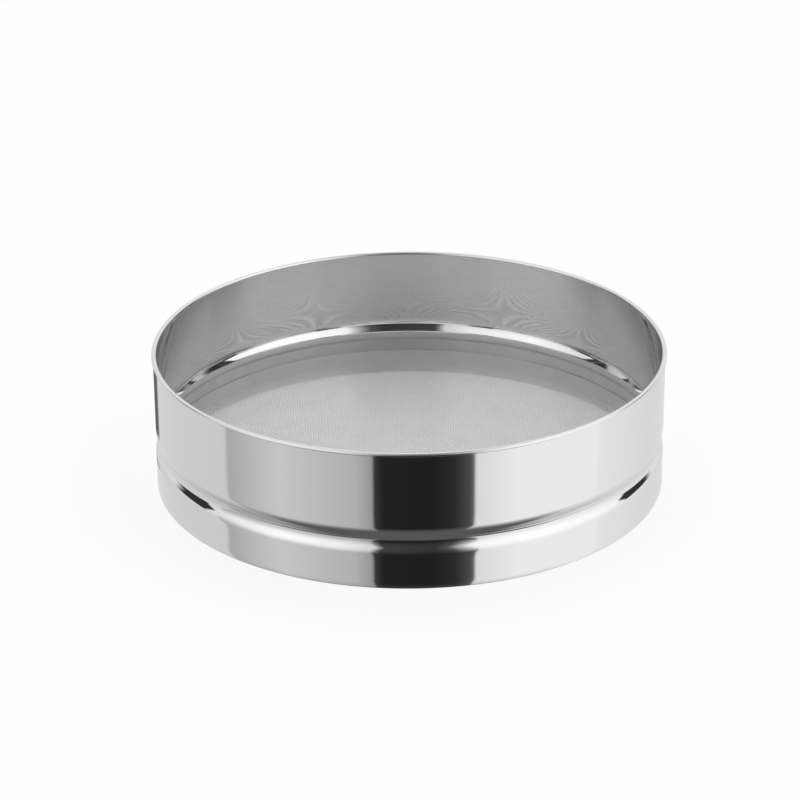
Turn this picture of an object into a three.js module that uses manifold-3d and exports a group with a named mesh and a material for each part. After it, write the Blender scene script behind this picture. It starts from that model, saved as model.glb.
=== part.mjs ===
// Drum sieve: a rolled sheet-steel hoop with a flat wire mesh held near its foot between two rings.
// Millimetres, +Z up, origin on the axis in the plane that the foot stands on.
import * as THREE from 'three';
import { mergeVertices } from 'three/addons/utils/BufferGeometryUtils.js';
import Module from 'manifold-3d';

// Hoop
const RIM_DIAMETER = 300; // overall, across the rolled rim
const HEIGHT = 82; // foot to top of the rim
const SHEET = 0.6; // thickness of the hoop's sheet
const RIM_PROUD = 0.8; // how far the rolled rim stands out from the wall
const RIM_HEM = 7.5; // height of the edge folded in at the rim
const SKIRT_PROUD = 0.4; // how far the skirt under the bead stands out from the wall
const FOOT_HEM = 6; // height of the edge folded in at the foot
const FOOT_LAND = 0.5; // width of the flat that the foot stands on

// Bead rolled in between wall and skirt, a groove outside and a ridge inside
const BEAD_WIDTH = 15; // along the wall
const BEAD_DEPTH = 2.4; // from the wall to the crest

// Rings that clamp the mesh inside the skirt, rolled from flat strip
const UPPER_RING_HEIGHT = 6.6;
const LOWER_RING_HEIGHT = 8;
const RING_THICKNESS = 1;
const RING_CHAMFER = 0.2; // broken edges of the strip

// Mesh, a coarse flat net of wires laid across each other
const WIRE_DIAMETER = 0.8;
const WIRE_PITCH = 16;
const WIRE_BITE = 0.2; // how deep crossing wires sink into each other

const CLEARANCE = 0.3; // between pieces that seat on each other

// Fineness of the round forms
const TURN_STEPS = 72;
const BEAD_STEPS = 8;
const NECK_STEPS = 2;
const RIM_STEPS = 6;
const FOOT_STEPS = 2;
const WIRE_SIDES = 6;

// Radii of the hoop's wall and skirt, and of the rounds on its folded edges
const wallOuter = RIM_DIAMETER / 2 - RIM_PROUD;
const wallInner = wallOuter - SHEET;
const skirtOuter = wallOuter + SKIRT_PROUD;
const skirtInner = skirtOuter - SHEET;
const rimRadius = (2 * SHEET + RIM_PROUD) / 2;
const footRadius = (2 * SHEET - FOOT_LAND) / 2;

// Radii of the rings inside the skirt
const ringOuter = skirtInner - CLEARANCE;
const ringInner = ringOuter - RING_THICKNESS;

// Heights of the stack, from the folded foot up to the bead that stops it
const lowerRingBase = FOOT_HEM + CLEARANCE;
const meshBase = lowerRingBase + LOWER_RING_HEIGHT + CLEARANCE;
const meshTop = meshBase + 2 * WIRE_DIAMETER - WIRE_BITE;
const upperRingBase = meshTop + CLEARANCE;
const upperRingTop = upperRingBase + UPPER_RING_HEIGHT;

// The bead's lower flank comes in as far as the ring's outer edge just above the upper ring
const flankDepth = BEAD_DEPTH + SKIRT_PROUD;
const flankTurn = Math.acos(1 - (2 * CLEARANCE) / flankDepth);
const flankRise = (BEAD_WIDTH * flankTurn) / (2 * Math.PI);
const beadBase = upperRingTop + CLEARANCE - flankRise;

const hoopSteel = new THREE.MeshStandardMaterial({ color: 0xcfd0d1, metalness: 1, roughness: 0.12 });
const ringSteel = new THREE.MeshStandardMaterial({ color: 0xb9babb, metalness: 1, roughness: 0.25 });
const wireSteel = new THREE.MeshStandardMaterial({ color: 0xc4c5c6, metalness: 1, roughness: 0.3 });

// Points of an arc in the profile plane, both ends included
function arc(radius, centreR, centreZ, from, to, steps) {
  return new THREE.EllipseCurve(centreR, centreZ, radius, radius, from, to).getPoints(steps);
}

// Points of the bead between a skirt and a wall of the given radii, from its lower end to its upper end
function bead(skirtRadius, wallRadius) {
  const crest = wallRadius - BEAD_DEPTH;
  const points = [];
  for (let step = 0; step <= BEAD_STEPS; step += 1) {
    const along = step / BEAD_STEPS;
    const side = along < 0.5 ? skirtRadius : wallRadius;
    const swell = (1 - Math.cos(2 * Math.PI * along)) / 2;
    points.push(new THREE.Vector2(side + (crest - side) * swell, beadBase + BEAD_WIDTH * along));
  }
  return points;
}

// A ring-shaped solid from a profile that runs up its outside and down its inside
function revolve(profile) {
  const geometry = new THREE.LatheGeometry([...profile, profile[0]], TURN_STEPS);
  geometry.rotateX(Math.PI / 2);
  return geometry;
}

// The hoop: one sheet with a rolled rim, a bead and both edges folded flat against the inside
function hoopGeometry() {
  const rimCentre = RIM_DIAMETER / 2 - rimRadius;
  const neckTurn = Math.acos(1 - RIM_PROUD / rimRadius);
  const footHemInner = skirtInner - SHEET;
  return revolve([
    ...arc(footRadius, skirtOuter - footRadius, footRadius, -Math.PI / 2, 0, FOOT_STEPS),
    ...bead(skirtOuter, wallOuter),
    ...arc(rimRadius, rimCentre, HEIGHT - rimRadius, -neckTurn, 0, NECK_STEPS).slice(0, NECK_STEPS),
    ...arc(rimRadius, rimCentre, HEIGHT - rimRadius, 0, Math.PI, RIM_STEPS),
    new THREE.Vector2(wallInner - SHEET, HEIGHT - RIM_HEM),
    new THREE.Vector2(wallInner, HEIGHT - RIM_HEM),
    ...bead(skirtInner, wallInner).reverse(),
    new THREE.Vector2(skirtInner, FOOT_HEM),
    new THREE.Vector2(footHemInner, FOOT_HEM),
    ...arc(footRadius, footHemInner + footRadius, footRadius, Math.PI, 1.5 * Math.PI, FOOT_STEPS),
  ]);
}

// A clamping ring of flat strip with its edges broken
function ringGeometry(base, height) {
  const top = base + height;
  return revolve([
    new THREE.Vector2(ringOuter - RING_CHAMFER, base),
    new THREE.Vector2(ringOuter, base + RING_CHAMFER),
    new THREE.Vector2(ringOuter, top - RING_CHAMFER),
    new THREE.Vector2(ringOuter - RING_CHAMFER, top),
    new THREE.Vector2(ringInner + RING_CHAMFER, top),
    new THREE.Vector2(ringInner, top - RING_CHAMFER),
    new THREE.Vector2(ringInner, base + RING_CHAMFER),
    new THREE.Vector2(ringInner + RING_CHAMFER, base),
  ]);
}

const wasm = await Module();
wasm.setup();

// A closed geometry as a solid that can be joined
function toSolid(geometry) {
  geometry.deleteAttribute('normal');
  geometry.deleteAttribute('uv');
  const merged = mergeVertices(geometry);
  const vertProperties = new Float32Array(merged.attributes.position.array);
  const triVerts = new Uint32Array(merged.index.array);
  return new wasm.Manifold(new wasm.Mesh({ numProp: 3, vertProperties, triVerts }));
}

// A joined solid as a geometry again
function toGeometry(solid) {
  const { vertProperties, triVerts } = solid.getMesh();
  const geometry = new THREE.BufferGeometry();
  geometry.setAttribute('position', new THREE.BufferAttribute(vertProperties, 3));
  geometry.setIndex(new THREE.BufferAttribute(triVerts, 1));
  geometry.computeVertexNormals();
  return geometry;
}

// One straight wire along Y at a distance from the middle, ending under the rings, flat side up
function wireGeometry(offset) {
  const radius = WIRE_DIAMETER / 2 / Math.cos(Math.PI / WIRE_SIDES);
  const reach = Math.abs(offset) + radius;
  const length = 2 * Math.sqrt(ringOuter ** 2 - reach ** 2);
  const geometry = new THREE.CylinderGeometry(radius, radius, length, WIRE_SIDES);
  geometry.rotateY(Math.PI / WIRE_SIDES);
  geometry.translate(offset, 0, 0);
  return geometry;
}

// The mesh: wires along Y on top of wires along X, sunk into each other where they cross
function meshGeometry() {
  const wiresEachSide = Math.floor((ringInner - WIRE_DIAMETER) / WIRE_PITCH);
  const wires = [];
  for (let place = -wiresEachSide; place <= wiresEachSide; place += 1) {
    const warp = wireGeometry(place * WIRE_PITCH);
    const weft = wireGeometry(place * WIRE_PITCH).rotateZ(Math.PI / 2);
    warp.translate(0, 0, meshTop - WIRE_DIAMETER / 2);
    weft.translate(0, 0, meshBase + WIRE_DIAMETER / 2);
    wires.push(toSolid(warp), toSolid(weft));
  }
  return toGeometry(wires.reduce((net, wire) => net.add(wire)));
}

function piece(name, geometry, material) {
  const mesh = new THREE.Mesh(geometry, material);
  mesh.name = name;
  return mesh;
}

const sieve = new THREE.Group();
sieve.add(
  piece('hoop', hoopGeometry(), hoopSteel),
  piece('upper_ring', ringGeometry(upperRingBase, UPPER_RING_HEIGHT), ringSteel),
  piece('wire_mesh', meshGeometry(), wireSteel),
  piece('lower_ring', ringGeometry(lowerRingBase, LOWER_RING_HEIGHT), ringSteel),
);

export default sieve;
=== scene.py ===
"""Drum sieve: a polished hoop of folded sheet, two clamping rings and a cloth of woven wire."""
import math

import bmesh
import bpy
from bpy.props import FloatProperty, FloatVectorProperty, IntProperty, PointerProperty
from mathutils import Matrix, Vector


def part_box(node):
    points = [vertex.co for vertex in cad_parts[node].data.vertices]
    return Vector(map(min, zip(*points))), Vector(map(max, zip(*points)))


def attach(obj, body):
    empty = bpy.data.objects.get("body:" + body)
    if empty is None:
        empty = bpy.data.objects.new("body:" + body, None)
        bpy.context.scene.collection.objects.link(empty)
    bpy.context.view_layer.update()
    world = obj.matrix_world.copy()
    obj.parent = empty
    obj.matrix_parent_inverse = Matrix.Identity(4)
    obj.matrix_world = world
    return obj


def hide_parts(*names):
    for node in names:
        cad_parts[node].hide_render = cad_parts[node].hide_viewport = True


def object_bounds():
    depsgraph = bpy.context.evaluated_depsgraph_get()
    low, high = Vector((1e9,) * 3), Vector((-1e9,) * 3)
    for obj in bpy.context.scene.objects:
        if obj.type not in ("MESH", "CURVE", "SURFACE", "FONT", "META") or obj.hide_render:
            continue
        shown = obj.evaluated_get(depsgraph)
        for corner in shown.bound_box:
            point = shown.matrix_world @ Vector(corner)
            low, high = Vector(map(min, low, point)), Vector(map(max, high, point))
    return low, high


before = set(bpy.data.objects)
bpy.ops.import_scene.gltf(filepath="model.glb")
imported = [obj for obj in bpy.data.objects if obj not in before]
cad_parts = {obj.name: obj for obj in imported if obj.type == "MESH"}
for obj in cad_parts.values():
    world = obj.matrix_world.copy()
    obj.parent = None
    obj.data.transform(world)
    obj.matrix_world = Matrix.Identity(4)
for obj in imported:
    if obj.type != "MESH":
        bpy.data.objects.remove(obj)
CAD_LOW, CAD_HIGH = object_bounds()
HOOP_LOW, HOOP_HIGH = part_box("hoop")
UPPER_LOW, UPPER_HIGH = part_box("upper_ring")
LOWER_LOW, LOWER_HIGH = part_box("lower_ring")
CLOTH_LOW, CLOTH_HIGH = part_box("wire_mesh")

bl_info = {
    "name": "Drum sieve",
    "version": (1, 0, 0),
    "blender": (4, 5, 0),
    "location": "3D View > Sidebar > Sieve",
    "description": "Builds a polished drum sieve with a woven wire cloth and its studio",
    "category": "Object",
}

MM = 0.001
SMOOTH_BELOW = math.radians(35)
SAME_PLACE = 1e-7  # vertices this close are one
SLIVER = 1e-5  # edges shorter than this are closed after rounding
ON_CORNER = 2e-6  # how far a vertex may lie from the corner it belongs to
SHORT_OF_ROUND = 0.98  # a full round would leave faces without width
TALL_FACE = 4 * MM  # faces taller than this are divided
SATIN_RISE = 1.0 * MM  # height over which the rim's polish turns to satin
SATIN_ROUGHNESS = 0.28


def length(name, description, default):
    """A length in metres that the sidebar shows as a distance."""
    return FloatProperty(name=name, description=description, default=default, min=0.0, precision=5,
                         subtype="DISTANCE", unit="LENGTH")


def colour(name, description, default):
    """A linear colour."""
    return FloatVectorProperty(name=name, description=description, default=default, size=3, min=0.0, max=1.0,
                               subtype="COLOR")


def share(name, description, default, highest=1.0):
    """A plain number from nothing to its highest value."""
    return FloatProperty(name=name, description=description, default=default, min=0.0, max=highest,
                         precision=3)


class SIEVE_PG_hoop(bpy.types.PropertyGroup):
    """Sizes and finish of the hoop."""
    rim_radius: length("Rim radius", "Outside radius of the rolled rim", HOOP_HIGH.x)
    height: length("Height", "Height from the foot to the top of the rim", HOOP_HIGH.z)
    sheet: length("Sheet", "Thickness of the sheet", 0.6 * MM)
    slit: length("Slit", "Gap left between the two leaves of a hem", 0.06 * MM)
    rim_bulb: length("Rim bulb", "Thickness of the rolled rim", 2.9 * MM)
    rim_proud: length("Rim proud", "How far the rim stands out from the wall", 0.8 * MM)
    rim_lean: FloatProperty(name="Rim lean", description="Lean of the rim's underside from upright",
                            default=math.radians(62), subtype="ANGLE", unit="ROTATION")
    rim_face: length("Rim face", "Upright part of the rim below its round top", 0.2 * MM)
    rim_edge: length("Rim edge", "Rounding of the rim's lower edge", 0.1 * MM)
    rim_hem: length("Rim hem", "How far the folded rim reaches down inside", 7.5 * MM)
    skirt_proud: length("Skirt proud", "How far the skirt stands out from the wall", 0.2 * MM)
    foot_hem: length("Foot hem", "How far the folded foot reaches up inside", 6.0 * MM)
    foot_land: length("Foot land", "Flat width that the foot stands on", 0.4 * MM)
    bead_top: length("Bead top", "Height of the upper corner of the bead, before rounding", 34.0 * MM)
    bead_crest: length("Bead crest", "Height where the bead's upper flank ends, before rounding", 28.7 * MM)
    bead_turn: length("Bead turn", "Height where the bead's lower flank begins, before rounding", 26.0 * MM)
    bead_base: length("Bead base", "Height where the bead runs into the skirt, before rounding", 22.3 * MM)
    bead_depth: length("Bead depth", "Depth of the bead from the wall", 2.6 * MM)
    bead_shoulder: length("Bead shoulder", "Reach of the rounding from the bead's upper corner", 2.8 * MM)
    bead_nip: length("Bead nip", "How far the rounding reaches where the upper flank ends", 0.75 * MM)
    bead_round: length("Bead round", "How far the rounding reaches from the bead's lower corners", 1.9 * MM)
    turns: IntProperty(name="Turns", description="Steps round the hoop", default=512, min=24)
    tone: colour("Tone", "Colour of the polished sheet", (0.82, 0.82, 0.825))
    roughness: share("Roughness", "Roughness of the clean polished sheet", 0.035)


class SIEVE_PG_rings(bpy.types.PropertyGroup):
    """Sizes and finish of the two clamping rings."""
    thickness: length("Thickness", "Thickness of the strip", 0.6 * MM)
    tuck: length("Tuck", "How far the upper ring stays below the bead", 0.1 * MM)
    crown: length("Crown", "Fall of the upper ring's top edge to its outside, under the bead", 1.6 * MM)
    edge_round: length("Edge round", "Rounding of the strip's edges", 0.08 * MM)
    joint: length("Joint", "Gap where the two ends of the strip meet", 0.4 * MM)
    joint_turn: FloatProperty(name="Joint turn", description="Where the joint sits, from the X axis",
                              default=math.radians(-55), subtype="ANGLE", unit="ROTATION")
    turns: IntProperty(name="Turns", description="Steps round a ring", default=384, min=24)
    tone: colour("Tone", "Colour of the strip", (0.82, 0.82, 0.825))
    roughness: share("Roughness", "Roughness of the strip", 0.28)


class SIEVE_PG_cloth(bpy.types.PropertyGroup):
    """Sizes and finish of the woven wire cloth."""
    radius: length("Radius", "Radius that the cloth is cut to", CLOTH_HIGH.x - 0.3 * MM)
    pitch: length("Pitch", "Distance from one wire to the next", 1.0 * MM)
    wire: length("Wire", "Thickness of a wire", 0.26 * MM)
    bands: IntProperty(name="Bands", description="Pieces that the wires of each direction are made in",
                       default=4, min=1)
    tone: colour("Tone", "Colour of the wires", (0.90, 0.90, 0.905))
    roughness: share("Roughness", "Roughness of the drawn wires", 0.55)


class SIEVE_PG_stage(bpy.types.PropertyGroup):
    """The camera, the floor and the studio round the sieve."""
    distance: length("Distance", "From the camera to the middle of the sieve", 1.7693)
    elevation: FloatProperty(name="Elevation", description="Height of the camera above the horizon",
                             default=math.radians(24.379), subtype="ANGLE", unit="ROTATION")
    roll: FloatProperty(name="Roll", description="Turn of the camera about its own axis",
                        default=math.radians(-0.281), subtype="ANGLE", unit="ROTATION")
    lens: FloatProperty(name="Lens", description="Focal length", default=135.19, min=1.0,
                        subtype="DISTANCE_CAMERA", unit="CAMERA")
    shift: FloatVectorProperty(name="Shift", description="Sideways and upward shift of the frame", size=2,
                               default=(-0.0118, 0.0109), min=-0.1, max=0.1, precision=4)
    floor_size: length("Floor size", "Half the width of the floor", 4.0)
    floor_tone: colour("Floor tone", "Colour of the floor where light falls on it", (0.85, 0.85, 0.85))
    floor_glow: share("Floor glow", "How much of the white background the floor shows the camera", 0.83)
    floor_shade: share("Floor shade", "How strongly the floor shows the camera a shadow", 0.2)
    lamp: FloatProperty(name="Lamp", description="Strength of the lamp above the back", default=0.06, min=0.0)
    lamp_spread: FloatProperty(name="Lamp spread", description="Width of the lamp as the sieve sees it",
                               default=math.radians(4), subtype="ANGLE", unit="ROTATION")
    lamp_toward: FloatVectorProperty(name="Lamp direction", description="From the sieve to the lamp", size=3,
                                     default=(-0.042, 0.483, 0.875), subtype="DIRECTION")


def corner_chain(bm, corners):
    """Joins the (radius, height) corners of a half section into a chain of edges."""
    verts = [bm.verts.new((radius, 0.0, height)) for radius, height in corners]
    return verts + [bm.edges.new(pair) for pair in zip(verts, verts[1:])]


def circles_at(bm, corners):
    """The edges that run round the Z axis through the given (radius, height) corners."""
    def on_corner(vert, corner):
        return abs(vert.co.xy.length - corner[0]) < ON_CORNER and abs(vert.co.z - corner[1]) < ON_CORNER
    return [edge for edge in bm.edges for corner in corners
            if on_corner(edge.verts[0], corner) and on_corner(edge.verts[1], corner)]


def round_circles(bm, corners, width, segments):
    """Rounds the corners of a turned shape."""
    bmesh.ops.bevel(bm, geom=circles_at(bm, corners), offset=width, offset_type="OFFSET", affect="EDGES",
                    segments=segments, profile=0.5, material=-1)


def finish_piece(bm, name, material, nodes):
    """Makes a mesh into a piece that rides on the body and stands for its CAD nodes."""
    mesh = bpy.data.meshes.new(name)
    bm.to_mesh(mesh)
    bm.free()
    mesh.shade_smooth()
    mesh.set_sharp_from_angle(angle=SMOOTH_BELOW)
    mesh.materials.append(material)
    piece = bpy.data.objects.new(name, mesh)
    bpy.context.scene.collection.objects.link(piece)
    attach(piece, "root")
    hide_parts(*nodes)
    return piece


def new_group(name, inputs, outputs):
    """An empty shader node group with named sockets, and its input and output nodes."""
    group = bpy.data.node_groups.new(name, "ShaderNodeTree")
    for socket, kind in inputs:
        group.interface.new_socket(name=socket, in_out="INPUT", socket_type=kind)
    for socket, kind in outputs:
        group.interface.new_socket(name=socket, in_out="OUTPUT", socket_type=kind)
    return group, group.nodes.new("NodeGroupInput"), group.nodes.new("NodeGroupOutput")


def rolled_grain():
    """Fine lines that the rolls and the polishing wheel leave round the drum."""
    if "Rolled grain" in bpy.data.node_groups:
        return bpy.data.node_groups["Rolled grain"]
    group, given, result = new_group(
        "Rolled grain", [("Vector", "NodeSocketVector"), ("Lines", "NodeSocketFloat")],
        [("Height", "NodeSocketFloat")])
    nodes, links = group.nodes, group.links
    across = nodes.new("ShaderNodeCombineXYZ")
    across.inputs["X"].default_value = 6.0
    across.inputs["Y"].default_value = 6.0
    stretched = nodes.new("ShaderNodeVectorMath")
    stretched.operation = "MULTIPLY"
    lines = nodes.new("ShaderNodeTexNoise")
    lines.inputs["Scale"].default_value = 1.0
    lines.inputs["Detail"].default_value = 3.0
    links.new(given.outputs["Lines"], across.inputs["Z"])
    links.new(given.outputs["Vector"], stretched.inputs[0])
    links.new(across.outputs["Vector"], stretched.inputs[1])
    links.new(stretched.outputs["Vector"], lines.inputs["Vector"])
    links.new(lines.outputs["Fac"], result.inputs["Height"])
    return group


def handling_haze():
    """Soft patches of haze left by hands and wiping."""
    if "Handling haze" in bpy.data.node_groups:
        return bpy.data.node_groups["Handling haze"]
    group, given, result = new_group(
        "Handling haze", [("Vector", "NodeSocketVector"), ("Scale", "NodeSocketFloat")],
        [("Haze", "NodeSocketFloat")])
    nodes, links = group.nodes, group.links
    patches = nodes.new("ShaderNodeTexNoise")
    patches.inputs["Detail"].default_value = 4.0
    patches.inputs["Roughness"].default_value = 0.6
    patches.inputs["Distortion"].default_value = 0.8
    spread = nodes.new("ShaderNodeMapRange")
    spread.inputs["From Min"].default_value = 0.45
    spread.inputs["From Max"].default_value = 0.75
    links.new(given.outputs["Vector"], patches.inputs["Vector"])
    links.new(given.outputs["Scale"], patches.inputs["Scale"])
    links.new(patches.outputs["Fac"], spread.inputs["Value"])
    links.new(spread.outputs["Result"], result.inputs["Haze"])
    return group


def steel(name, finish, haze_scale, haze_tint, haze_roughness, lines, line_depth, satin_from=None):
    """Bright steel with rolled lines and a faint haze, and a satin gloss above a height if one is given."""
    material = bpy.data.materials.new(name)
    material.use_nodes = True
    nodes, links = material.node_tree.nodes, material.node_tree.links
    surface = nodes["Principled BSDF"]
    surface.inputs["Metallic"].default_value = 1.0
    place = nodes.new("ShaderNodeTexCoord")
    haze = nodes.new("ShaderNodeGroup")
    haze.node_tree = handling_haze()
    haze.inputs["Scale"].default_value = haze_scale
    grain = nodes.new("ShaderNodeGroup")
    grain.node_tree = rolled_grain()
    grain.inputs["Lines"].default_value = lines
    tint = nodes.new("ShaderNodeMix")
    tint.data_type = "RGBA"
    tint.inputs["A"].default_value = (*finish.tone, 1.0)
    tint.inputs["B"].default_value = (*[value * haze_tint for value in finish.tone], 1.0)
    gloss = nodes.new("ShaderNodeMapRange")
    gloss.inputs["To Min"].default_value = finish.roughness
    gloss.inputs["To Max"].default_value = finish.roughness + haze_roughness
    relief = nodes.new("ShaderNodeBump")
    relief.inputs["Strength"].default_value = 1.0
    relief.inputs["Distance"].default_value = line_depth
    for group in (haze, grain):
        links.new(place.outputs["Object"], group.inputs["Vector"])
    links.new(haze.outputs["Haze"], tint.inputs["Factor"])
    links.new(tint.outputs["Result"], surface.inputs["Base Color"])
    links.new(haze.outputs["Haze"], gloss.inputs["Value"])
    if satin_from is None:
        links.new(gloss.outputs["Result"], surface.inputs["Roughness"])
    else:
        satin = satin_gloss(material, place, satin_from)
        links.new(gloss.outputs["Result"], satin.inputs[0])
        links.new(satin.outputs["Value"], surface.inputs["Roughness"])
    links.new(grain.outputs["Height"], relief.inputs["Height"])
    links.new(relief.outputs["Normal"], surface.inputs["Normal"])
    return material


def satin_gloss(material, place, height):
    """Adds the roughness that rolling leaves above a height to the roughness it is given."""
    nodes, links = material.node_tree.nodes, material.node_tree.links
    axes = nodes.new("ShaderNodeSeparateXYZ")
    rise = nodes.new("ShaderNodeMapRange")
    rise.inputs["From Min"].default_value = height
    rise.inputs["From Max"].default_value = height + SATIN_RISE
    rise.inputs["To Max"].default_value = SATIN_ROUGHNESS
    total = nodes.new("ShaderNodeMath")
    links.new(place.outputs["Object"], axes.inputs["Vector"])
    links.new(axes.outputs["Z"], rise.inputs["Value"])
    links.new(rise.outputs["Result"], total.inputs[1])
    return total


class SIEVE_OT_hoop(bpy.types.Operator):
    """Make the hoop from one folded and beaded sheet"""
    bl_idname = "sieve.hoop"
    bl_label = "Hoop"

    def execute(self, context):
        hoop = context.scene.sieve_hoop
        wall = hoop.rim_radius - hoop.rim_proud
        skirt = wall + hoop.skirt_proud
        crest = wall - hoop.bead_depth
        fold = 2 * hoop.sheet + hoop.slit
        rim_leaf, foot_leaf = wall - fold, skirt - fold
        rim_inner = hoop.rim_radius - hoop.rim_bulb
        bulb = hoop.rim_bulb / 2
        under = hoop.height - bulb - hoop.rim_face
        rim_top = [(rim_inner, hoop.height), (hoop.rim_radius, hoop.height)]
        rim_under = [(rim_inner, under), (hoop.rim_radius, under)]
        rim_neck = [(rim_leaf, under - (rim_leaf - rim_inner) / math.tan(hoop.rim_lean)),
                    (wall, under - hoop.rim_proud / math.tan(hoop.rim_lean))]
        bead_top, bead_crest = (wall, hoop.bead_top), (crest, hoop.bead_crest)
        bead_turn, bead_base = (crest, hoop.bead_turn), (skirt, hoop.bead_base)
        foot = [(skirt, HOOP_LOW.z), (foot_leaf, HOOP_LOW.z)]

        bm = bmesh.new()
        sheet = corner_chain(bm, [
            (rim_leaf, hoop.height - hoop.rim_hem), rim_neck[0], rim_under[0], *rim_top, rim_under[1],
            rim_neck[1], bead_top, bead_crest, bead_turn, bead_base, *foot,
            (foot_leaf, HOOP_LOW.z + hoop.foot_hem)])
        bmesh.ops.spin(bm, geom=sheet, angle=math.tau, steps=hoop.turns, use_merge=True, axis=(0, 0, 1),
                       cent=(0, 0, 0))
        bmesh.ops.remove_doubles(bm, verts=bm.verts, dist=SAME_PLACE)
        bmesh.ops.recalc_face_normals(bm, faces=bm.faces)
        round_circles(bm, rim_top, bulb * SHORT_OF_ROUND, segments=7)
        round_circles(bm, [*rim_under, *rim_neck], hoop.rim_edge, segments=3)
        round_circles(bm, [bead_top], hoop.bead_shoulder, segments=8)
        round_circles(bm, [bead_crest], hoop.bead_nip, segments=4)
        round_circles(bm, [bead_turn, bead_base], hoop.bead_round, segments=6)
        round_circles(bm, foot, (fold - hoop.foot_land) / 2, segments=4)
        bmesh.ops.remove_doubles(bm, verts=bm.verts, dist=SLIVER)
        below_neck = rim_neck[1][1] - 2 * hoop.rim_edge
        bmesh.ops.bisect_plane(bm, geom=[*bm.verts, *bm.edges, *bm.faces], plane_co=(0, 0, below_neck),
                               plane_no=(0, 0, 1))
        tall = [edge for edge in bm.edges if abs(edge.verts[0].co.z - edge.verts[1].co.z) > TALL_FACE]
        bmesh.ops.subdivide_edges(bm, edges=tall, cuts=5, use_grid_fill=True)
        bmesh.ops.solidify(bm, geom=bm.faces[:], thickness=hoop.sheet)

        material = steel("polished sheet", hoop, haze_scale=14.0, haze_tint=0.985, haze_roughness=0.02,
                         lines=900.0, line_depth=0.2e-6, satin_from=under)
        finish_piece(bm, "folded_hoop", material, ["hoop"])
        return {"FINISHED"}


class SIEVE_OT_rings(bpy.types.Operator):
    """Make the two strip rings that clamp the wire cloth"""
    bl_idname = "sieve.rings"
    bl_label = "Clamping rings"

    def execute(self, context):
        rings, cloth = context.scene.sieve_rings, context.scene.sieve_cloth
        middle = (CLOTH_LOW.z + CLOTH_HIGH.z) / 2
        material = steel("rolled strip", rings, haze_scale=30.0, haze_tint=0.93, haze_roughness=0.10,
                         lines=1400.0, line_depth=1.5e-6)
        self.ring("clamp_ring_upper", "upper_ring", UPPER_HIGH.x, middle + cloth.wire,
                  UPPER_HIGH.z - rings.tuck, rings.crown, rings, material)
        self.ring("clamp_ring_lower", "lower_ring", LOWER_HIGH.x, LOWER_LOW.z, middle - cloth.wire,
                  0.0, rings, material)
        return {"FINISHED"}

    def ring(self, name, node, outer, base, top, crown, rings, material):
        """A rounded strip bent round until its ends nearly meet."""
        inner = outer - rings.thickness
        gap = rings.joint / outer
        bm = bmesh.new()
        corners = [(inner, base), (outer, base), (outer, top - crown), (inner, top)]
        start = [bm.verts.new((radius, 0.0, height)) for radius, height in corners]
        section = bmesh.ops.contextual_create(bm, geom=start)["faces"]
        first_end = Matrix.Rotation(rings.joint_turn + gap / 2, 3, "Z")
        bmesh.ops.rotate(bm, verts=start, cent=(0, 0, 0), matrix=first_end)
        bmesh.ops.spin(bm, geom=[*start, *section[0].edges, *section], angle=math.tau - gap,
                       steps=rings.turns, axis=(0, 0, 1), cent=(0, 0, 0))
        bmesh.ops.recalc_face_normals(bm, faces=bm.faces)
        round_circles(bm, corners, rings.edge_round, segments=3)
        finish_piece(bm, name, material, [node])


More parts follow.
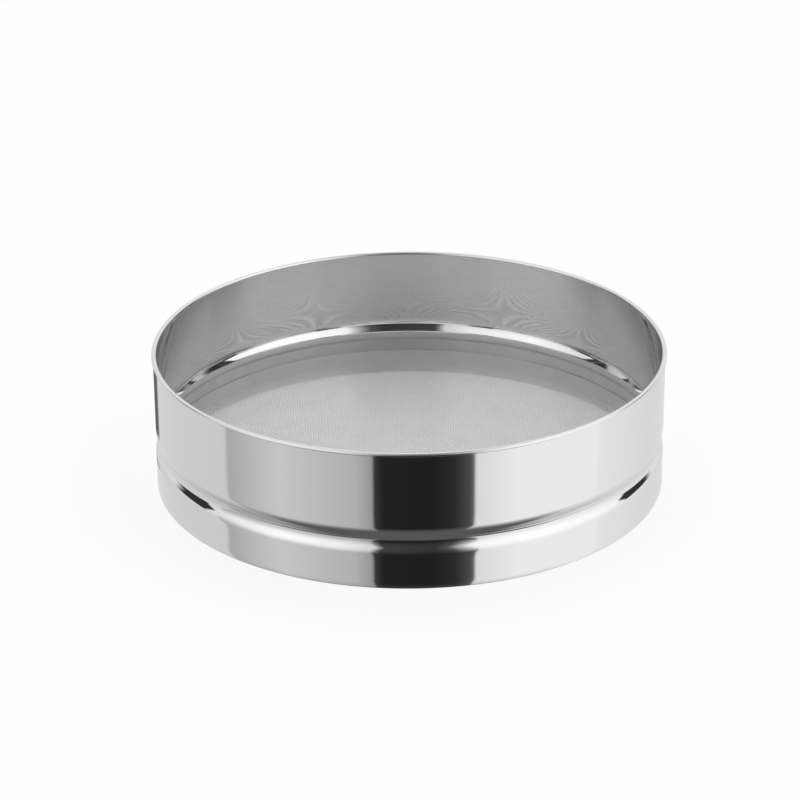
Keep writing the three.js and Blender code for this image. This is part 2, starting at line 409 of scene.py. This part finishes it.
class SIEVE_OT_cloth(bpy.types.Operator):
    """Weave the wire cloth, over and under at every crossing"""
    bl_idname = "sieve.cloth"
    bl_label = "Wire cloth"

    def execute(self, context):
        cloth = context.scene.sieve_cloth
        material = steel("drawn wire", cloth, haze_scale=60.0, haze_tint=0.96, haze_roughness=0.08,
                         lines=500.0, line_depth=1.0e-6)
        reach = math.floor(cloth.radius / cloth.pitch)
        per_band = 2 * math.ceil((2 * reach + 1) / cloth.bands / 2)
        for direction in ("warp", "weft"):
            for band in range(cloth.bands):
                first = band * per_band - reach
                bm = self.band(cloth, reach, first, min(first + per_band, reach + 1), direction)
                finish_piece(bm, f"{direction}_wires_{band + 1}", material, ["wire_mesh"])
        return {"FINISHED"}

    def band(self, cloth, reach, first, last, direction):
        """Neighbouring wires of one direction, cut off at the edge of the cloth."""
        pitch, wire, rise = cloth.pitch, cloth.wire, cloth.wire / 2
        phase = first if direction == "warp" else first + 1

        def wave(vert):
            return rise * math.cos(math.pi * (vert.co.y / pitch + phase))

        def outside(vert):
            across = round(vert.co.x / pitch)
            return across >= last or math.hypot(across * pitch, vert.co.y) > cloth.radius

        bm = bmesh.new()
        bmesh.ops.create_cube(bm, size=1.0)
        bmesh.ops.scale(bm, verts=bm.verts, vec=(wire, 2 * reach * pitch, wire))
        along = [edge for edge in bm.edges if abs(edge.verts[0].co.y - edge.verts[1].co.y) > pitch]
        bmesh.ops.subdivide_edges(bm, edges=along, cuts=2 * reach - 1, use_grid_fill=True)
        for vert in bm.verts:
            vert.co.z += wave(vert)
        bmesh.ops.translate(bm, verts=bm.verts, vec=(first * pitch, 0, 0))
        for vert in self.copied(bm, (pitch, 0, 0)):
            vert.co.z -= 2 * wave(vert)
        made = 2
        while first + made < last:
            self.copied(bm, (made * pitch, 0, 0))
            made *= 2
        bmesh.ops.delete(bm, geom=[vert for vert in bm.verts if outside(vert)], context="VERTS")
        bmesh.ops.holes_fill(bm, edges=[edge for edge in bm.edges if edge.is_boundary], sides=4)
        if direction == "weft":
            bmesh.ops.rotate(bm, verts=bm.verts, cent=(0, 0, 0), matrix=Matrix.Rotation(math.pi / 2, 3, "Z"))
        bmesh.ops.translate(bm, verts=bm.verts, vec=(0, 0, (CLOTH_LOW.z + CLOTH_HIGH.z) / 2))
        return bm

    def copied(self, bm, step):
        """Copies everything made so far and moves the copy, and gives its vertices."""
        copy = bmesh.ops.duplicate(bm, geom=[*bm.verts, *bm.edges, *bm.faces])["geom"]
        verts = [item for item in copy if isinstance(item, bmesh.types.BMVert)]
        bmesh.ops.translate(bm, verts=verts, vec=step)
        return verts


# Light that reaches the steel from round about: (turn from the camera in degrees, left below 0; level).
# The gap between the panels is the opening that the camera looks through.
PANELS_BELOW = ((-180, 0.74), (-160, 0.74), (-90.5, 0.71), (-88.5, 0.47), (-60, 0.68), (-24, 0.52),
                (-16.6, 0.36), (-15.8, 0.05), (-12, 0.018), (10, 0.016), (20, 0.028), (26.6, 0.08),
                (28.3, 0.15), (29.6, 0.84), (50, 1.0), (92, 0.99), (94, 0.93), (135, 0.80), (180, 0.76))
PANELS_ABOVE = ((-180, 0.85), (-95, 0.90), (-60, 1.2), (-30, 1.0), (-17, 0.75), (-15.5, 0.40), (-13, 0.06),
                (12, 0.04), (19, 0.10), (25, 0.55), (30, 1.1), (60, 1.25), (95, 1.15), (180, 0.85))

# Where the other parts of the studio begin and where they are full: the climb, X or Y of a direction, or
# a turn in degrees. Dark flags stand at both sides, and a dark corner at the far left.
ABOVE_CLIMB = (-0.35, 0.5)
FLAG_MIDDLE, FLAG_LEVEL = 4, 0.035
FLAG_INNER, FLAG_OUTER = (100, 103), (128, 119)
FLAG_FOOT, FLAG_HEAD = (-0.04, 0.02), (0.5, 0.42)
CORNER_LEVEL = 0.13
CORNER_INNER, CORNER_OUTER = (-154, -159), (-180, -176)
CORNER_FOOT, CORNER_HEAD = (-0.428, -0.418), (-0.37, -0.39)

# The ground in front is dark and the ground at both sides is lighter.
GROUND_CLIMB, GROUND_LEVEL = (-0.50, -0.82), 0.11
SIDE_TURN, SIDE_CLIMB = (68, 90), (-0.96, -0.84)
SIDE_X, SIDE_LEVELS = (-0.2, 0.2), (0.38, 0.62)

# The ceiling has a dark slot above the camera's opening and is brightest at the back.
CEILING_CLIMB = (0.68, 0.88)
CEILING_X, CEILING_LEVELS = (-0.5, 0.5), (0.78, 1.05)
SLOT_MIDDLE, SLOT_X = 0.10, (0.32, 0.14)
SLOT_Y, SLOT_LEVELS = (-0.2, 0.5), (0.08, 0.85)
BACK_Y, BACK_LEVEL = (0.3, 0.7), 1.6

FLOOR_DROP = 0.05 * MM  # from the foot to the floor
PATCH_DROP = 0.04 * MM  # from the foot to the patch inside


class SIEVE_OT_stage(bpy.types.Operator):
    """Make the camera, the pale floor and the studio light"""
    bl_idname = "sieve.stage"
    bl_label = "Stage"

    def execute(self, context):
        stage = context.scene.sieve_stage
        context.scene.view_settings.view_transform = "Standard"
        self.camera(context.scene, stage)
        self.floor(context.scene, stage)
        self.lamp(context.scene, stage)
        context.scene.world = self.studio()
        return {"FINISHED"}

    def camera(self, scene, stage):
        """Looks at the middle of the sieve from the photograph's angle."""
        data = bpy.data.cameras.new("camera")
        data.lens = stage.lens
        data.shift_x, data.shift_y = stage.shift
        camera = bpy.data.objects.new("camera", data)
        scene.collection.objects.link(camera)
        middle = (CAD_LOW + CAD_HIGH) / 2
        tilt = Matrix.Rotation(math.pi / 2 - stage.elevation, 4, "X")
        camera.matrix_world = (Matrix.Translation(middle) @ tilt @ Matrix.Translation((0, 0, stage.distance))
                               @ Matrix.Rotation(stage.roll, 4, "Z"))
        scene.camera = camera

    def lamp(self, scene, stage):
        """A weak lamp above the back that the polished hoop doesn't show as a glint."""
        data = bpy.data.lights.new("lamp", "SUN")
        data.energy = stage.lamp
        data.angle = stage.lamp_spread
        lamp = bpy.data.objects.new("lamp", data)
        lamp.rotation_mode = "QUATERNION"
        lamp.rotation_quaternion = Vector(stage.lamp_toward).to_track_quat("Z", "Y")
        scene.collection.objects.link(lamp)
        shielded = bpy.data.collections.new("shielded from the lamp")
        shielded.objects.link(bpy.data.objects["folded_hoop"])
        shielded.collection_objects[0].light_linking.link_state = "EXCLUDE"
        lamp.light_linking.receiver_collection = shielded

    def floor(self, scene, stage):
        """A wide floor that the steel doesn't mirror, and a round patch inside the sieve that it does."""
        material = self.floor_material(stage)
        bm = bmesh.new()
        bmesh.ops.create_grid(bm, x_segments=1, y_segments=1, size=stage.floor_size)
        bmesh.ops.translate(bm, verts=bm.verts, vec=(0, 0, CAD_LOW.z - FLOOR_DROP))
        self.floor_piece(scene, "floor", bm, material).visible_glossy = False
        bm = bmesh.new()
        bmesh.ops.create_circle(bm, cap_ends=True, segments=96, radius=LOWER_HIGH.x)
        bmesh.ops.translate(bm, verts=bm.verts, vec=(0, 0, CAD_LOW.z - PATCH_DROP))
        self.floor_piece(scene, "floor_inside", bm, material)

    def floor_piece(self, scene, name, bm, material):
        """Makes a mesh into a part of the stage."""
        mesh = bpy.data.meshes.new(name)
        bm.to_mesh(mesh)
        bm.free()
        mesh.materials.append(material)
        piece = bpy.data.objects.new(name, mesh)
        scene.collection.objects.link(piece)
        return piece

    def floor_material(self, stage):
        """Pale and matt, shown to the camera as the white background with the sieve's shadow on it."""
        material = bpy.data.materials.new("floor")
        material.use_nodes = True
        nodes, links = material.node_tree.nodes, material.node_tree.links
        nodes.remove(nodes["Principled BSDF"])
        path = nodes.new("ShaderNodeLightPath")
        lit = nodes.new("ShaderNodeBsdfDiffuse")
        lit.inputs["Color"].default_value = (*stage.floor_tone, 1.0)
        shaded = nodes.new("ShaderNodeBsdfDiffuse")
        shaded.inputs["Color"].default_value = (*[stage.floor_shade] * 3, 1.0)
        glow = nodes.new("ShaderNodeEmission")
        glow.inputs["Strength"].default_value = stage.floor_glow
        shown = nodes.new("ShaderNodeAddShader")
        by_ray = nodes.new("ShaderNodeMixShader")
        seen = nodes.new("ShaderNodeNewGeometry")
        clear = nodes.new("ShaderNodeBsdfTransparent")
        by_side = nodes.new("ShaderNodeMixShader")
        links.new(shaded.outputs["BSDF"], shown.inputs[0])
        links.new(glow.outputs["Emission"], shown.inputs[1])
        links.new(path.outputs["Is Camera Ray"], by_ray.inputs["Fac"])
        links.new(lit.outputs["BSDF"], by_ray.inputs[1])
        links.new(shown.outputs["Shader"], by_ray.inputs[2])
        links.new(seen.outputs["Backfacing"], by_side.inputs["Fac"])
        links.new(by_ray.outputs["Shader"], by_side.inputs[1])
        links.new(clear.outputs["BSDF"], by_side.inputs[2])
        links.new(by_side.outputs["Shader"], nodes["Material Output"].inputs["Surface"])
        return material

    def studio(self):
        """White to the camera, and panels of light with one dark gap to everything else."""
        world = bpy.data.worlds.new("studio")
        world.use_nodes = True
        nodes, links = world.node_tree.nodes, world.node_tree.links

        def math_node(operation, first, second=None):
            node = nodes.new("ShaderNodeMath")
            node.operation = operation
            for socket, value in zip(node.inputs, (first, second)):
                if isinstance(value, bpy.types.NodeSocket):
                    links.new(value, socket)
                elif value is not None:
                    socket.default_value = value
            return node.outputs["Value"]

        def product(first, *others):
            for other in others:
                first = math_node("MULTIPLY", first, other)
            return first

        def distance(value, middle):
            return math_node("ABSOLUTE", math_node("SUBTRACT", value, middle))

        def fade(value, ends):
            node = nodes.new("ShaderNodeMapRange")
            node.interpolation_type = "SMOOTHSTEP"
            node.inputs["From Min"].default_value = ends[0]
            node.inputs["From Max"].default_value = ends[1]
            links.new(value, node.inputs["Value"])
            return node.outputs["Result"]

        def turn_fade(value, ends):
            return fade(value, [math.radians(end) for end in ends])

        def panels(turn, stops):
            ramp = nodes.new("ShaderNodeValToRGB")
            elements = ramp.color_ramp.elements
            while len(elements) < len(stops):
                elements.new(0.5)
            for element, (angle, level) in zip(elements, stops):
                element.position = (angle + 180) / 360
                element.color = (level, level, level, 1.0)
            links.new(turn, ramp.inputs["Fac"])
            return ramp.outputs["Color"]

        def blend(factor, first, second):
            node = nodes.new("ShaderNodeMix")
            node.data_type = "RGBA"
            links.new(factor, node.inputs["Factor"])
            for socket, value in ((node.inputs["A"], first), (node.inputs["B"], second)):
                if isinstance(value, bpy.types.NodeSocket):
                    links.new(value, socket)
                else:
                    socket.default_value = (value, value, value, 1.0)
            return node.outputs["Result"]

        place = nodes.new("ShaderNodeTexCoord")
        toward = nodes.new("ShaderNodeSeparateXYZ")
        links.new(place.outputs["Generated"], toward.inputs["Vector"])
        x, y, climb = toward.outputs["X"], toward.outputs["Y"], toward.outputs["Z"]
        angle = math_node("ARCTAN2", x, math_node("MULTIPLY", y, -1.0))
        turn = math_node("ADD", math_node("DIVIDE", angle, math.tau), 0.5)
        level = blend(fade(climb, ABOVE_CLIMB), panels(turn, PANELS_BELOW), panels(turn, PANELS_ABOVE))
        aside = distance(angle, math.radians(FLAG_MIDDLE))
        flags = product(turn_fade(aside, FLAG_INNER), turn_fade(aside, FLAG_OUTER),
                        fade(climb, FLAG_FOOT), fade(climb, FLAG_HEAD))
        level = blend(flags, level, FLAG_LEVEL)
        corner = product(turn_fade(angle, CORNER_INNER), turn_fade(angle, CORNER_OUTER),
                         fade(climb, CORNER_FOOT), fade(climb, CORNER_HEAD))
        level = blend(corner, level, CORNER_LEVEL)
        beside = product(turn_fade(math_node("ABSOLUTE", angle), SIDE_TURN), fade(climb, SIDE_CLIMB))
        ground = blend(beside, GROUND_LEVEL, blend(fade(x, SIDE_X), *SIDE_LEVELS))
        level = blend(fade(climb, GROUND_CLIMB), level, ground)
        slot = fade(distance(x, SLOT_MIDDLE), SLOT_X)
        ceiling = blend(slot, blend(fade(x, CEILING_X), *CEILING_LEVELS),
                        blend(fade(y, SLOT_Y), *SLOT_LEVELS))
        ceiling = blend(fade(y, BACK_Y), ceiling, BACK_LEVEL)
        level = blend(fade(climb, CEILING_CLIMB), level, ceiling)

        studio = nodes["Background"]
        links.new(level, studio.inputs["Color"])
        white = nodes.new("ShaderNodeBackground")
        white.inputs["Color"].default_value = (1.0, 1.0, 1.0, 1.0)
        path = nodes.new("ShaderNodeLightPath")
        by_ray = nodes.new("ShaderNodeMixShader")
        links.new(path.outputs["Is Camera Ray"], by_ray.inputs["Fac"])
        links.new(studio.outputs["Background"], by_ray.inputs[1])
        links.new(white.outputs["Background"], by_ray.inputs[2])
        links.new(by_ray.outputs["Shader"], nodes["World Output"].inputs["Surface"])
        return world


class SIEVE_PT_sidebar(bpy.types.Panel):
    """Lists the pieces of the sieve and its stage"""
    bl_idname = "SIEVE_PT_sidebar"
    bl_label = "Drum sieve"
    bl_space_type = "VIEW_3D"
    bl_region_type = "UI"
    bl_category = "Sieve"

    def draw(self, context):
        for operator in OPERATORS:
            self.layout.operator(operator.bl_idname)
        for group in SETTINGS:
            settings = getattr(context.scene, group)
            box = self.layout.box()
            for name in settings.bl_rna.properties.keys():
                if name not in ("rna_type", "name"):
                    box.prop(settings, name)


SETTINGS = {"sieve_hoop": SIEVE_PG_hoop, "sieve_rings": SIEVE_PG_rings, "sieve_cloth": SIEVE_PG_cloth,
            "sieve_stage": SIEVE_PG_stage}
OPERATORS = (SIEVE_OT_hoop, SIEVE_OT_rings, SIEVE_OT_cloth, SIEVE_OT_stage)
CLASSES = (*SETTINGS.values(), *OPERATORS, SIEVE_PT_sidebar)


def register():
    for cls in CLASSES:
        bpy.utils.register_class(cls)
    for name, settings in SETTINGS.items():
        setattr(bpy.types.Scene, name, PointerProperty(type=settings))


def unregister():
    for name in SETTINGS:
        delattr(bpy.types.Scene, name)
    for cls in reversed(CLASSES):
        bpy.utils.unregister_class(cls)


def main():
    register()
    bpy.ops.sieve.hoop()
    bpy.ops.sieve.rings()
    bpy.ops.sieve.cloth()
    bpy.ops.sieve.stage()


if __name__ == "__main__":
    main()
